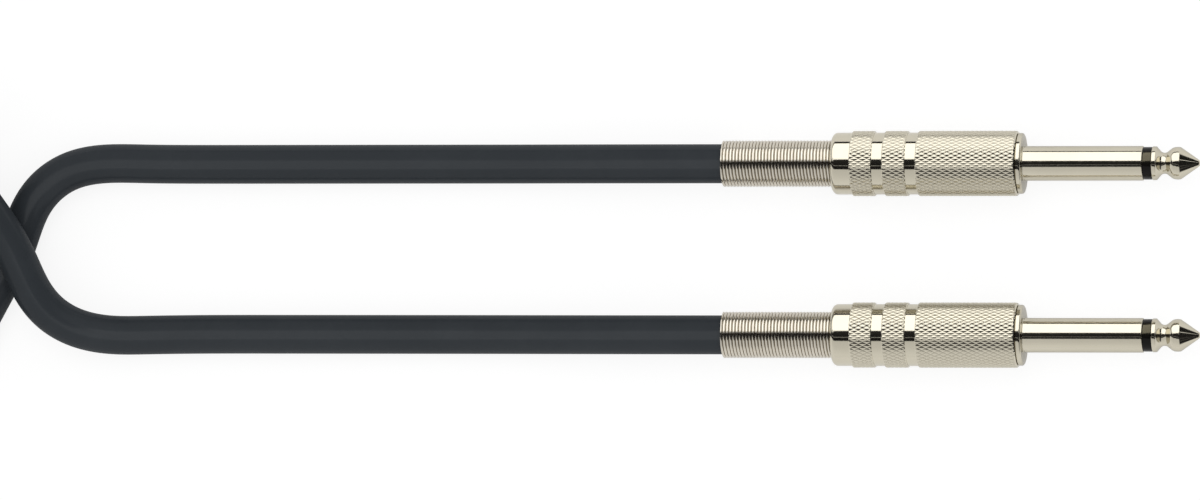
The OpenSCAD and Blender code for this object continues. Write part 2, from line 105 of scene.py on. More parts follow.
# A mesh object from points in mm, with its faces turned outwards
def newPiece(name, points, faces, uvs=None, sharp=28):
    mesh = bpy.data.meshes.new(name)
    mesh.from_pydata((np.asarray(points, float) * mm).tolist(), [], faces)
    if uvs is not None:
        layer = mesh.uv_layers.new(name="surface")
        layer.data.foreach_set("uv", np.asarray(uvs, float).ravel())
    work = bmesh.new()
    work.from_mesh(mesh)
    bmesh.ops.recalc_face_normals(work, faces=work.faces)
    work.to_mesh(mesh)
    work.free()
    shadeMesh(mesh, sharp)
    piece = bpy.data.objects.new(name, mesh)
    scene.collection.objects.link(piece)
    return piece


# Faces and UVs of rows of points that follow a line, each row closed round and both ends capped
def closedSkin(across, along):
    count = len(across) - 1
    faces, uvs = [], []
    for i in range(len(along) - 1):
        for j in range(count):
            k = (j + 1) % count
            faces.append((i * count + j, i * count + k, (i + 1) * count + k, (i + 1) * count + j))
            uvs += [(across[j], along[i]), (across[j + 1], along[i]),
                    (across[j + 1], along[i + 1]), (across[j], along[i + 1])]
    for i in (0, len(along) - 1):
        faces.append(tuple(range(i * count, (i + 1) * count)))
        uvs += [(u, along[i]) for u in across[:-1]]
    return faces, uvs


# A tree of geometry nodes for a piece of a plug, with its named inputs and its two ends
def newTree(name, numbers, counts=()):
    tree = bpy.data.node_groups.new(name, "GeometryNodeTree")
    tree.interface.new_socket(name="Geometry", in_out="OUTPUT", socket_type="NodeSocketGeometry")
    kinds = {"Geometry": "Geometry", **dict.fromkeys(("Axis Y", "Axis Z", *numbers), "Float"),
             **dict.fromkeys(counts, "Int"), "Material": "Material"}
    for label, kind in kinds.items():
        tree.interface.new_socket(name=label, in_out="INPUT", socket_type="NodeSocket" + kind)
    return tree, addNode(tree, "NodeGroupInput").outputs, addNode(tree, "NodeGroupOutput")


# Of each point: its x, its offsets y and z from the plug's axis, its distance from it and its turn round it
def aboutAxis(tree, given):
    spot = addNode(tree, "GeometryNodeInputPosition")
    part = addNode(tree, "ShaderNodeSeparateXYZ", [spot]).outputs
    dy = addNode(tree, "ShaderNodeMath", [part["Y"], given["Axis Y"]], operation="SUBTRACT")
    dz = addNode(tree, "ShaderNodeMath", [given["Axis Z"], part["Z"]], operation="SUBTRACT")
    squares = addNode(tree, "ShaderNodeMath", [dz, dz], operation="MULTIPLY")
    total = addNode(tree, "ShaderNodeMath", [dy, dy, squares], operation="MULTIPLY_ADD")
    reach = addNode(tree, "ShaderNodeMath", [total], operation="SQRT")
    angle = addNode(tree, "ShaderNodeMath", [dy, dz], operation="ARCTAN2")
    turned = addNode(tree, "ShaderNodeMath", [angle, 2 * math.pi], operation="DIVIDE")
    return part["X"], dy, dz, reach, turned


# The point at x, with its offsets from the plug's axis multiplied by a factor
def placedAbout(tree, given, x, dy, dz, factor):
    newY = addNode(tree, "ShaderNodeMath", [dy, factor, given["Axis Y"]], operation="MULTIPLY_ADD")
    lowZ = addNode(tree, "ShaderNodeMath", [dz, factor], operation="MULTIPLY")
    newZ = addNode(tree, "ShaderNodeMath", [given["Axis Z"], lowZ], operation="SUBTRACT")
    return addNode(tree, "ShaderNodeCombineXYZ", [x, newY, newZ])


# The end of a tree: instances made real and the finish laid on
def endTree(tree, given, result, shape):
    real = addNode(tree, "GeometryNodeRealizeInstances", [shape])
    coated = addNode(tree, "GeometryNodeSetMaterial", {"Geometry": real, "Material": given["Material"]})
    tree.links.new(coated.outputs[0], result.inputs[0])


# Runs a tree on a piece of a plug, keeps the result as its plain mesh and drops the modifier. Sizes are
# in mm, and those named X are places along the plug.
def growPiece(piece, plug, tree, finish, sizes, counts=(), sharp=28):
    values = {"Axis Y": plugs["across"][plug] * mm, "Axis Z": plugs["height"] * mm, "Material": finish}
    values.update((name, size * mm) for name, size in sizes.items())
    values.update(counts)
    grower = piece.modifiers.new(tree.name, "NODES")
    grower.node_group = tree
    for item in tree.interface.items_tree:
        if item.item_type == "SOCKET" and item.in_out == "INPUT" and item.name in values:
            grower[item.identifier] = values[item.name]
    graph = bpy.context.evaluated_depsgraph_get()
    grown = bpy.data.meshes.new_from_object(
        piece.evaluated_get(graph), preserve_all_data_layers=True, depsgraph=graph)
    piece.modifiers.remove(grower)
    piece.data = grown
    grown.name = piece.name
    shadeMesh(grown, sharp)


# Camera: high over the plugs' ends and a little towards the tips
view = {
    "from": (0.36975, -0.00013, 2.4675),
    "at": (-0.06735, -0.00013, 0.0060),
    "lens": 406.8,
    "sensor": 36.0,
}
lens = bpy.data.cameras.new("leadCamera")
lens.lens, lens.sensor_width, lens.sensor_fit = view["lens"], view["sensor"], "HORIZONTAL"
lens.clip_start, lens.clip_end = 0.1, 30.0
camera = bpy.data.objects.new("leadCamera", lens)
scene.collection.objects.link(camera)
back = (Vector(view["from"]) - Vector(view["at"])).normalized()
right = Vector((0, 1, 0)).cross(back).normalized()
camera.matrix_world = Matrix.Translation(view["from"]) @ Matrix(
    (right, back.cross(right), back)).transposed().to_4x4()
scene.camera = camera
print("camera placed")


# The free cable: straight out of plug a, over the floor, seven and a half loops of the hank, and
# back to plug b. The last number of each place is the height under the cable.
cable = {
    "diameter": 7.2,
    "exit": -44.25,
    "sides": 32,
    "smooth": 8,  # points of the line to each place
    "straight": (  # x and height, on both sides
        (-64, 2.5), (-72, 1.7), (-80, 0.5), (-88, 0), (-96, 0), (-106, 0), (-118, 0), (-130, 0), (-142, 0)),
    "swings": {
        "a": (
            (-153, 15.8, 0), (-160.6, 16.1, 0), (-167, 15.2, 0), (-172, 12.3, 0), (-175.4, 8, 0),
            (-177.2, 2.8, 0), (-178.8, -2, 0), (-181.6, -7, 0), (-184.4, -12, 0), (-187.2, -17.5, 0),
            (-190.4, -23, 0), (-195.6, -27.8, 0), (-202, -30.2, 0)),
        "b": (
            (-153, -15.9, 0.3), (-160, -16.1, 1), (-166.2, -14.9, 2.1), (-171, -12, 3.6), (-174, -7.8, 5.2),
            (-175.8, -2.8, 6.8), (-177.8, 2, 8.3), (-180.8, 6.8, 10.5), (-184, 12, 12.9),
            (-187.2, 17.5, 15.1), (-190.6, 23, 17.1), (-195.6, 27.8, 19.1), (-202, 30.2, 20.9),
            (-208, 30.4, 22.1)),
    },
}
hank = {
    "front": -218.0,  # x at which the runs end and the folds nearest the plugs start
    "across": 2.0,  # y of the middle
    "run": 81.0,
    "fold": 15.5,  # radius of the innermost fold
    "step": 7.9,  # how far each turn lies outside the one within it
    "drawnIn": 9.5,  # how far the tie draws a run in at the waist, and lifts it
    "lift": 1.8,
    "layer": 7.5,
    "turns": 7.5,
    "climbs": (2, 4, 6),  # turns at which the cable goes up by a layer
    "points": 1500,
}
runShare = hank["run"] / 2 / (2 * hank["run"] + 2 * math.pi * (hank["fold"] + hank["step"]))
foldShare = 0.5 - 2 * runShare
hankMid = hank["front"] - hank["run"] / 2


# Point of the cable's axis in the hank, at a number of turns from the waist. Each half turn is a run, the
# first on the -Y side, and the fold at its end.
def hankPoint(t):
    first, second, third = hank["climbs"]
    radius = hank["fold"] + hank["step"] * abs(t - (first if t < second else third))
    height = cable["diameter"] / 2
    for climb in hank["climbs"]:
        u = min(max((t - climb + runShare) / (2 * runShare), 0), 1)
        height += hank["layer"] * u * u * (3 - 2 * u)
    f, half = (t + runShare) % 1, hank["run"] / 2
    side = -1 if f < 0.5 else 1
    past = f % 0.5 - 2 * runShare
    if past > 0:
        angle = math.pi * past / foldShare
        return (hankMid + side * (half + radius * math.sin(angle)),
                hank["across"] + side * radius * math.cos(angle), height)
    x = side * (past / runShare + 1) * half
    drawn = math.cos(math.pi * x / hank["run"]) ** 2
    return (hankMid + x, hank["across"] + side * (radius - hank["drawnIn"] * drawn),
            height + hank["lift"] * drawn)


# Smooth line that starts at its first control point and ends at its last
def smoothLine(points, steps):
    points = np.array(points, float)
    points = np.vstack([2 * points[0] - points[1], points, 2 * points[-1] - points[-2]])
    line = []
    for p, q, r, s in zip(points, points[1:], points[2:], points[3:]):
        for k in range(steps):
            u = k / steps
            line.append(((1 - u) ** 3 * p + (3 * u ** 3 - 6 * u * u + 4) * q
                         + (-3 * u ** 3 + 3 * u * u + 3 * u + 1) * r + u ** 3 * s) / 6)
    return line + [points[-2]]


# The cable from a plug to the hank, which it meets at a turn and from a few steps ahead
def freeEnd(plug, hankTurn, steps):
    side, rest = plugs["across"][plug], cable["diameter"] / 2
    line = [(cable["exit"] - d, side, plugs["height"]) for d in (0, 6, 12)]
    line += [(x, side, z + rest) for x, z in cable["straight"]]
    line += [(x, y, z + rest) for x, y, z in cable["swings"][plug]]
    x, y, z = hankPoint(hankTurn)
    return smoothLine(line + [(x + d, y, z) for d in steps], cable["smooth"])


lastTurn = hank["turns"] + runShare
runA = freeEnd("a", -runShare, (10, 5, 0))
runB = freeEnd("b", lastTurn, (5, 0))
loops = [hankPoint(t) for t in np.linspace(-runShare, lastTurn, hank["points"])[1:-1]]
cableLine = np.array([*runA, *loops, *runB[::-1]], float)


# Round tube along a line, with UVs in mm round it and along it
def cableTube(name, line, radius, sides):
    ahead = np.gradient(line, axis=0)
    ahead /= np.linalg.norm(ahead, axis=1)[:, None]
    along = np.concatenate([[0], np.cumsum(np.linalg.norm(np.diff(line, axis=0), axis=1))])
    across = np.cross(ahead[0], (0, 0, 1))
    angles = 2 * np.pi * np.arange(sides) / sides
    points = []
    for centre, direction in zip(line, ahead):
        across = across - direction * across.dot(direction)
        across /= np.linalg.norm(across)
        up = np.cross(across, direction)
        points.append(centre + radius * (np.outer(np.cos(angles), up) + np.outer(np.sin(angles), across)))
    faces, uvs = closedSkin([2 * math.pi * radius / sides * j for j in range(sides + 1)], along)
    return newPiece(name, np.vstack(points), faces, uvs, sharp=60)


cablePiece = cableTube("cable", cableLine, cable["diameter"] / 2, cable["sides"])

# PVC jacket, extruded: a dull satin with faint lines along it where the die drew it out
jacket = {"tones": ("2f3337", "33373b"), "line": 0.9, "grain": 0.35, "scuff": 14.0, "rough": (0.52, 0.7)}
jacketPvc, tree = newFinish("extrudedPvc")
place = addNode(tree, "ShaderNodeTexCoord").outputs["Object"]
surface = addNode(tree, "ShaderNodeUVMap", uv_map="surface")
drawn = addNode(tree, "ShaderNodeMapping", {"Vector": surface, "Scale": (1 / jacket["line"], 0.02, 1)})
lines = addNode(tree, "ShaderNodeTexNoise", {"Vector": drawn, "Scale": 1.0, "Detail": 3.0},
                noise_dimensions="2D")
grain = addNode(tree, "ShaderNodeTexNoise",
                {"Vector": place, "Scale": 1 / (jacket["grain"] * mm), "Detail": 4.0})
scuff = addNode(tree, "ShaderNodeTexNoise",
                {"Vector": place, "Scale": 1 / (jacket["scuff"] * mm), "Detail": 5.0, "Roughness": 0.7})
height = addNode(tree, "ShaderNodeMath", [lines, 0.6, grain], operation="MULTIPLY_ADD")
worn = addNode(tree, "ShaderNodeMapRange", {"Value": scuff, "From Min": 0.45, "From Max": 0.75})
addShader(tree, {"IOR": 1.53, "Specular IOR Level": 0.02, "Coat Weight": 0.2, "Coat Roughness": 0.2,
                 "Coat IOR": 1.5},
          (worn, *jacket["tones"]), (grain, *jacket["rough"]), (height, 0.35, 0.012))
cablePiece.data.materials.append(jacketPvc)

# The tie: one woven hook-and-loop strap wound round the waist, its end laid over the start
tie = {
    "width": 16.0,
    "thick": 1.15,
    "edge": 0.45,
    "clear": 0.1,
    "overlap": 20.0,
    "start": 0.40,  # share of the way round at which the strap starts
    "step": 0.7,
    "rise": 5.0,  # over this length the strap steps up onto its own start, by this much of its thickness
    "riseBy": 1.02,
    "taper": (0.16, 2.2),  # how much narrower the cut ends are, and over which length
    "thread": 0.55,
    "tones": ("1d1e20", "2b2c2f"),
}


# The strap's middle line round the hank: place across and up, direction outwards and length so far
def strapLine():
    edgeTurn = tie["width"] / hank["run"] * runShare
    strands = [hankPoint(k / 2 + s * edgeTurn)[1:]
               for k in range(int(2 * hank["turns"]) + 1) for s in (-1, -0.5, 0, 0.5, 1)]
    reach = cable["diameter"] / 2 + tie["clear"] + tie["thick"] / 2
    dots = [(round(y + reach * math.cos(a), 4), round(z + reach * math.sin(a), 4))
            for y, z in strands for a in np.linspace(0, 2 * math.pi, 96, endpoint=False)]
    rim = np.array([dots[k] for k in convex_hull_2d(dots)])
    rim = np.roll(rim, -rim[:, 0].argmin(), axis=0)
    rim = np.vstack([rim, rim[:1]])
    along = np.concatenate([[0], np.cumsum(np.linalg.norm(np.diff(rim, axis=0), axis=1))])
    total = along[-1]

    def spotAt(s):
        return np.array([np.interp(s % total, along, rim[:, k]) for k in (0, 1)])

    line = []
    for s in np.arange(0, total + tie["overlap"], tie["step"]):
        ask = s + tie["start"] * total
        run = spotAt(ask + tie["step"] / 2) - spotAt(ask - tie["step"] / 2)
        run /= np.linalg.norm(run)
        out = np.array([run[1], -run[0]])
        u = min(max((s - total + tie["rise"]) / tie["rise"], 0), 1)
        line.append((spotAt(ask) + out * u * u * (3 - 2 * u) * tie["thick"] * tie["riseBy"], out, s))
    return line


# The strap: a flat section with round edges, carried along that line
def tieStrap():
    x, y = tie["width"] / 2 - tie["edge"], tie["thick"] / 2 - tie["edge"]
    section = []
    for cx, cy, start in ((x, y, 0), (-x, y, 90), (-x, -y, 180), (x, -y, 270)):
        for a in (0, 30, 60, 90):
            angle = math.radians(start + a)
            section.append((cx + tie["edge"] * math.cos(angle), cy + tie["edge"] * math.sin(angle)))
    # more points across the flat faces, so that the ribs of the weave can follow them
    upper = [(at, tie["thick"] / 2) for at in np.linspace(x, -x, 9)[1:-1]]
    lower = [(-at, -high) for at, high in upper]
    section = section[:4] + upper + section[4:12] + lower + section[12:]
    line = strapLine()
    less, over = tie["taper"]
    points = []
    for at, out, s in line:
        fromEnd = min(s, line[-1][2] - s)
        wide = 1 - less * (1 - min(fromEnd / over, 1)) ** 2
        points += [(hankMid + side * wide, *(at + out * high)) for side, high in section]
    faces, uvs = closedSkin([side for side, high in section + section[:1]], [row[2] for row in line])
    return newPiece("hankTie", points, faces, uvs, sharp=50)


# Woven nylon tape: ribs of thread along it and a low matt pile that takes the light softly
waveRepeat = 0.314  # scale at which the bands of a wave texture repeat once in a unit
strapWeave, tree = newFinish("wovenNylonStrap")
surface = addNode(tree, "ShaderNodeUVMap", uv_map="surface")
ribs, picks = [
    addNode(tree, "ShaderNodeTexWave", {"Vector": surface, "Scale": waveRepeat / thread,
                                        "Distortion": bent, "Detail": 2.0, "Detail Scale": 2.0},
            bands_direction=across)
    for thread, bent, across in ((tie["thread"], 0.6, "X"), (0.7 * tie["thread"], 0.8, "Y"))]
pile = addNode(tree, "ShaderNodeTexNoise", {"Vector": surface, "Scale": 3.2, "Detail": 6.0,
                                            "Roughness": 0.75}, noise_dimensions="2D")
cloth = addNode(tree, "ShaderNodeMath", [ribs.outputs["Fac"], picks.outputs["Fac"]], operation="MULTIPLY")
fuzz = addNode(tree, "ShaderNodeMath", [pile, 1.4, cloth], operation="MULTIPLY_ADD")
tint = addNode(tree, "ShaderNodeMapRange", {"Value": fuzz, "From Min": 0.4, "From Max": 1.6})
addShader(tree, {"Roughness": 0.9, "Specular IOR Level": 0.25, "Sheen Weight": 0.25,
                 "Sheen Roughness": 0.5}, (tint, *tie["tones"]), relief=(fuzz, 0.9, 0.12))

tiePiece = tieStrap()
tiePiece.data.materials.append(strapWeave)
for piece, slot in ((cablePiece, "cable_jacket"), (tiePiece, "tie_strap")):
    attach(piece, "lead")
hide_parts("cable_run_a", "cable_hank", "cable_run_b")
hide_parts("hank_tie")
print("tie wound")


# A piece turned about a plug's axis. Its outline goes round the section as (place, radius), and rowOf
# gives the rows of cells that are cut along their diagonals, as the cuts of the knurl run over them.
halfDiamond = 4  # cells from a cut to the top between two


def turnedPiece(name, plug, outline, sides, rowOf=None):
    points, first, along = [], [], [0.0]
    onAxis = [radius <= 1e-4 for place, radius in outline]
    for (place, radius), single in zip(outline, onAxis):
        first.append(len(points))
        for j in range(1 if single else sides):
            angle = 2 * math.pi * j / sides
            points.append((plugs["shoulder"] + place, plugs["across"][plug] + radius * math.sin(angle),
                           plugs["height"] - radius * math.cos(angle)))
    for (a, b), (c, d) in zip(outline, outline[1:] + outline[:1]):
        along.append(along[-1] + math.hypot(c - a, d - b))
    faces, uvs = [], []
    width = 2 * math.pi * max(radius for place, radius in outline) / sides
    rows = len(outline)
    for i in range(rows):
        row = (rowOf or {}).get(i)
        for j in range(sides):
            p, q, r, s = (i, j), (i, j + 1), (i + 1, j + 1), (i + 1, j)
            if row is None:
                cells = [(p, q, r, s)]
            elif (j // halfDiamond + row // halfDiamond) % 2 == 0:
                cells = [(p, q, r), (p, r, s)]
            else:
                cells = [(p, q, s), (q, r, s)]
            for cell in cells:
                corners = [(k, at) for k, at in cell if at == j or not onAxis[k % rows]]
                if len(corners) > 2:
                    faces.append([first[k % rows] + (0 if onAxis[k % rows] else at % sides)
                                  for k, at in corners])
                    uvs += [(at * width, along[k]) for k, at in corners]
    return newPiece(name, points, faces, uvs)


# Points of an arc for an outline, its centre and angles given in (radius, place)
def outlineArc(centreRadius, centrePlace, radius, start, end, steps):
    angles = [math.radians(start + (end - start) * k / steps) for k in range(steps + 1)]
    return [(centrePlace + radius * math.sin(a), centreRadius + radius * math.cos(a)) for a in angles]


# Bright nickel plate on turned brass: a warm mirror with very faint rings from the lathe
nickel = {"tones": ("cfc9b8", "c5bfad"), "cloud": 5.0, "smear": 1.2, "rough": (0.06, 0.135),
          "ring": 0.3, "depth": 0.0009}
nickelPlate, tree = newFinish("brightNickelPlate")
place = addNode(tree, "ShaderNodeTexCoord").outputs["Object"]
surface = addNode(tree, "ShaderNodeUVMap", uv_map="surface")
along = addNode(tree, "ShaderNodeSeparateXYZ", [surface]).outputs["Y"]
rings = addNode(tree, "ShaderNodeTexNoise", {"W": along, "Scale": 1 / nickel["ring"], "Detail": 3.0,
                                             "Roughness": 0.7}, noise_dimensions="1D")
cloud = addNode(tree, "ShaderNodeTexNoise",
                {"Vector": place, "Scale": 1 / (nickel["cloud"] * mm), "Detail": 4.0})
smear = addNode(tree, "ShaderNodeTexNoise",
                {"Vector": place, "Scale": 1 / (nickel["smear"] * mm), "Detail": 6.0, "Roughness": 0.65})
addShader(tree, {"Metallic": 1.0, "Specular Tint": (0.75, 0.75, 0.75, 1)}, (cloud, *nickel["tones"]),
          (smear, *nickel["rough"], 0.35, 0.7), (rings, 1.0, nickel["depth"]))

# Knurled nickel: the same plate, polished on the plain rings, dull where the rolls pressed the bands,
# and darkened down in the cuts with painted shade
# the painted shade in the cuts: its dark grey, the share of the cut's depth at which it starts, and how
# much of it there is at the bottom
knurled = {"paintedShadeGrey": "7b7466", "paintedShadeFrom": 0.55, "paintedShadeMost": 0.4, "plain": 0.07, "rolled": 0.15,
           "cutMore": 0.06, "grain": 0.12}
knurledNickel, tree = newFinish("knurledNickelPlate")
place = addNode(tree, "ShaderNodeTexCoord").outputs["Object"]
cutShare, rolledBand = [addNode(tree, "ShaderNodeAttribute", attribute_name=name).outputs["Fac"]
                        for name in ("knurlCut", "knurlBand")]
cloud = addNode(tree, "ShaderNodeTexNoise",
                {"Vector": place, "Scale": 1 / (nickel["cloud"] * mm), "Detail": 5.0, "Roughness": 0.6})
grain = addNode(tree, "ShaderNodeTexNoise",
                {"Vector": place, "Scale": 1 / (knurled["grain"] * mm), "Detail": 2.0})
plate = addNode(tree, "ShaderNodeMix", {0: cloud, 6: linearColour(nickel["tones"][0]),
                                        7: linearColour(nickel["tones"][1])}, data_type="RGBA")
# painted shade: past that share of the cut's depth the plate's tone goes towards the dark grey, most at the
# bottom of the cuts
paintedShadeShare = addNode(tree, "ShaderNodeMapRange", {"Value": cutShare, "From Min": knurled["paintedShadeFrom"],
                                            "From Max": 1.0, "To Max": knurled["paintedShadeMost"]})
plateWithPaintedShade = addNode(tree, "ShaderNodeMix", {0: paintedShadeShare, 6: plate.outputs[2], 7: linearColour(knurled["paintedShadeGrey"])},
                 data_type="RGBA")
polish = addNode(tree, "ShaderNodeMapRange", {"Value": rolledBand, "To Min": knurled["plain"],
                                              "To Max": knurled["rolled"]})
rough = addNode(tree, "ShaderNodeMath", [cutShare, knurled["cutMore"], polish], operation="MULTIPLY_ADD")
addShader(tree, {"Metallic": 1.0, "Base Color": plateWithPaintedShade.outputs[2], "Roughness": rough},
          relief=(grain, 0.5, 0.003))

# Nylon, moulded black: satin, with the fine spark-eroded grain of its mould
blackNylon, tree = newFinish("mouldedBlackNylon")
place = addNode(tree, "ShaderNodeTexCoord").outputs["Object"]
grain = addNode(tree, "ShaderNodeTexNoise", {"Vector": place, "Scale": 1 / (0.15 * mm), "Detail": 3.0})
flow = addNode(tree, "ShaderNodeTexNoise", {"Vector": place, "Scale": 1 / (2.5 * mm), "Detail": 2.0})
addShader(tree, {"Base Color": linearColour("0e0d0b"), "IOR": 1.53, "Specular IOR Level": 0.12},
          rough=(flow, 0.1, 0.2), relief=(grain, 0.4, 0.008))
print("plug finishes made")

# Tip contact: collar, neck, bulb and cone, on the rod that is riveted over the tip lug
tip = {
    "back": 23.8, "length": 8.8, "collar": 3.1, "collarLength": 0.8, "neck": 1.93, "neckHollow": 1.0,
    "neckAt": 2.2, "bulb": 2.97, "bulbRound": 1.35, "bulbAt": 4.33, "bulbEnd": 5.15, "crown": 0.03,
    "crownLength": 0.62, "corner": 0.45, "nose": 0.8, "soft": 0.12, "rod": 1.2, "rodRear": -10.4,
    "rivet": 1.8, "rivetFront": -9.7, "rivetEdge": ((0, 0.3), (0.12, 0.08), (0.3, 0)),
}


def tipOutline():
    base, soft, bulb, hollow = tip["back"], tip["soft"], tip["bulb"], tip["neckHollow"]
    toNose = (tip["length"] - tip["nose"] - tip["bulbEnd"], -bulb)
    lean = math.degrees(math.atan2(*toNose) - math.asin(tip["nose"] / math.hypot(*toNose)))
    line = [(tip["rodRear"], 0.0)]
    line += [(tip["rodRear"] + d, tip["rivet"] - less) for d, less in tip["rivetEdge"]]
    line += [(tip["rivetFront"], tip["rivet"]), (tip["rivetFront"], tip["rod"]), (base, tip["rod"])]
    line += outlineArc(tip["collar"] - soft, base + soft, soft, -90, 0, 5)
    line += outlineArc(tip["collar"] - soft, base + tip["collarLength"] - soft, soft, 0, 55, 4)
    line += outlineArc(tip["neck"] + hollow, base + tip["neckAt"], hollow, 234, 135, 20)
    line += outlineArc(bulb - tip["bulbRound"], base + tip["bulbAt"], tip["bulbRound"], -45, 0, 14)[1:]
    # the bulb's band is slightly crowned, and its corner with the cone is turned off with a small radius
    line += [(base + tip["bulbAt"] + tip["crownLength"] * u, bulb + tip["crown"] * math.sin(math.pi * u))
             for u in np.arange(1, 8) / 8]
    bend = lean - 90
    cut = tip["corner"] * math.tan(math.radians(bend) / 2)
    line += outlineArc(bulb - tip["corner"], base + tip["bulbEnd"] - cut, tip["corner"], 0, bend, 8)
    line += outlineArc(0.0, base + tip["length"] - tip["nose"], tip["nose"], bend, 90, 12)[:-1]
    return line + [(base + tip["length"], 0.0)]


# Insulator ring between tip and sleeve, its edges rounded by the mould: how far in and how much less
ring = {"rear": 22.1, "front": 23.8, "bore": 1.23, "outside": 3.0,
        "edge": ((0, 0.12), (0.06, 0.05), (0.14, 0.015), (0.25, 0))}
ringLine = [(ring["rear"], ring["bore"])]
ringLine += [(ring["rear"] + d, ring["outside"] - less) for d, less in ring["edge"]]
ringLine += [(ring["front"] - d, ring["outside"] - less) for d, less in ring["edge"][::-1]]
ringLine += [(ring["front"], ring["bore"])]

# Sleeve contact: hollow shaft, flange, threaded spigot and the boss that is staked over the ground lug
sleeve = {
    "shaft": 3.175, "front": 22.1, "edge": 0.15, "flange": 5.6, "flangeRear": -1.0, "flangeRound": 0.4,
    "spigot": 4.97, "spigotRear": -7.6, "lead": 0.4, "boss": 3.2, "bossRear": -8.1, "lip": 3.4,
    "lipRound": 0.05, "rear": -8.3, "bore": 2.13, "fillet": 0.12,
    "pitch": 1.0, "threadDepth": 0.52, "threadFront": -1.1,
    "rows": 16,  # of cells to a millimetre, which the thread is cut in
}


def sleeveOutline():
    s = sleeve
    start, turn = s["spigotRear"] + s["lead"], s["lipRound"]
    line = [(s["rear"], s["bore"]), (s["rear"], s["lip"] - turn), (s["rear"] + turn, s["lip"]),
            (s["bossRear"], s["lip"]), (s["bossRear"], s["boss"]), (s["spigotRear"], s["boss"]),
            (s["spigotRear"], s["spigot"] - s["lead"])]
    rows = int((s["flangeRear"] - 0.05 - start) * s["rows"])  # leaves no sliver at the flange
    line += [(start + k / s["rows"], s["spigot"]) for k in range(rows + 1)]
    line += [(s["flangeRear"], s["spigot"]), (s["flangeRear"], s["flange"] - s["edge"]),
             (s["flangeRear"] + s["edge"], s["flange"])]
    line += outlineArc(s["flange"] - s["flangeRound"], -s["flangeRound"], s["flangeRound"], 0, 90, 12)
    line += outlineArc(s["shaft"] + s["fillet"], s["fillet"], s["fillet"], -90, -180, 5)
    line += outlineArc(s["shaft"] - s["edge"], s["front"] - s["edge"], s["edge"], 0, 90, 6)
    return line + [(s["front"], s["bore"])]


# M10 x 1 thread on the spigot: a 60 degree V with flat crests and roots, shallow where it runs out
threadTree, given, result = newTree("spigotThread", ("Run-out X", "Radius", "Pitch", "Depth"))
tree = threadTree
x, dy, dz, reach, turned = aboutAxis(tree, given)
ahead = addNode(tree, "ShaderNodeMath", [x, given["Pitch"]], operation="DIVIDE")
phase = addNode(tree, "ShaderNodeMath", [ahead, turned], operation="SUBTRACT")
fold = addNode(tree, "ShaderNodeMath", [phase, 0.5], operation="PINGPONG")
cutIn = addNode(tree, "ShaderNodeMapRange", {"Value": fold, "From Min": 0.07, "From Max": 0.43,
                                             "To Max": given["Depth"]})
behind = addNode(tree, "ShaderNodeMath", [given["Run-out X"], x], operation="SUBTRACT")
runOut = addNode(tree, "ShaderNodeMath", [behind, given["Pitch"]], operation="DIVIDE", use_clamp=True)
cutHere = addNode(tree, "ShaderNodeMath", [cutIn, runOut], operation="MULTIPLY")
floorLine = addNode(tree, "ShaderNodeMath", [given["Radius"], cutHere], operation="SUBTRACT")
lower = addNode(tree, "ShaderNodeMath", [reach, floorLine], operation="MINIMUM")
scaled = addNode(tree, "ShaderNodeMath", [lower, reach], operation="DIVIDE")
behindFlange = addNode(tree, "ShaderNodeMath", [behind, 0.0], operation="GREATER_THAN")
newSpot = placedAbout(tree, given, x, dy, dz, scaled)
endTree(tree, given, result, addNode(tree, "GeometryNodeSetPosition", {
    "Geometry": given["Geometry"], "Selection": behindFlange, "Position": newSpot}))

# Barrel: three knurled bands with plain grooves between them, and a smooth end that holds the spring
barrel = {
    "front": -1.05, "outside": 6.0, "groove": 5.7, "edge": 0.15, "frontEdge": 0.25,
    "bands": ((-1.05, -19.45), (-21.35, -25.65), (-27.55, -31.7)), "rear": -35.45, "rearRound": 1.0,
    "threadBore": 5.02, "threadRear": -8.9, "linerBore": 4.869, "headStep": -32.55, "rearHole": 4.55,
    "chamfer": 0.12,  # of the two holes
    "starts": 45, "pitch": 1.56, "depth": 0.1, "flat": 0.04,
    "dome": 1.3,  # the plating rounds the tops
    "bandOver": 5.76,  # what stands out further than this is a knurled band
}
knurlSides = 2 * halfDiamond * barrel["starts"]
knurlRow = barrel["pitch"] / halfDiamond / 2


def barrelOutline():
    b = barrel
    line, rowOf = [(b["front"], b["threadBore"] + b["chamfer"])], {}
    for front, rear in b["bands"]:
        nose = b["frontEdge"] if front == b["front"] else b["edge"]
        if front != b["front"]:
            line.append((front, b["groove"]))
        stops = {round(front, 4): None, round(front - nose, 4): None,
                 round(rear + b["edge"], 4): None, round(rear, 4): None}
        for row in range(int((b["front"] - b["rear"]) / knurlRow) + 1):
            spot = b["front"] - row * knurlRow
            if rear + b["edge"] + 0.02 < spot < front - nose - 0.02:  # leaves no sliver beside an edge
                stops[round(spot, 4)] = row
        places = sorted(stops, reverse=True)
        for here, after in zip(places, places[1:] + [None]):
            if stops[here] is not None and after is not None and stops[after] == stops[here] + 1:
                rowOf[len(line)] = stops[here]
            line.append((here, b["outside"] - max(0, nose - front + here, b["edge"] - here + rear)))
        line.append((rear, b["groove"]))
    line += outlineArc(b["groove"] - b["rearRound"], b["rear"] + b["rearRound"], b["rearRound"], 0, -90, 14)
    line += [(b["rear"], b["rearHole"] + b["chamfer"]), (b["rear"] + b["chamfer"], b["rearHole"]),
             (b["headStep"], b["rearHole"]), (b["headStep"], b["linerBore"]),
             (b["threadRear"], b["linerBore"]), (b["threadRear"], b["threadBore"]),
             (b["front"] - b["chamfer"], b["threadBore"])]
    return line, rowOf


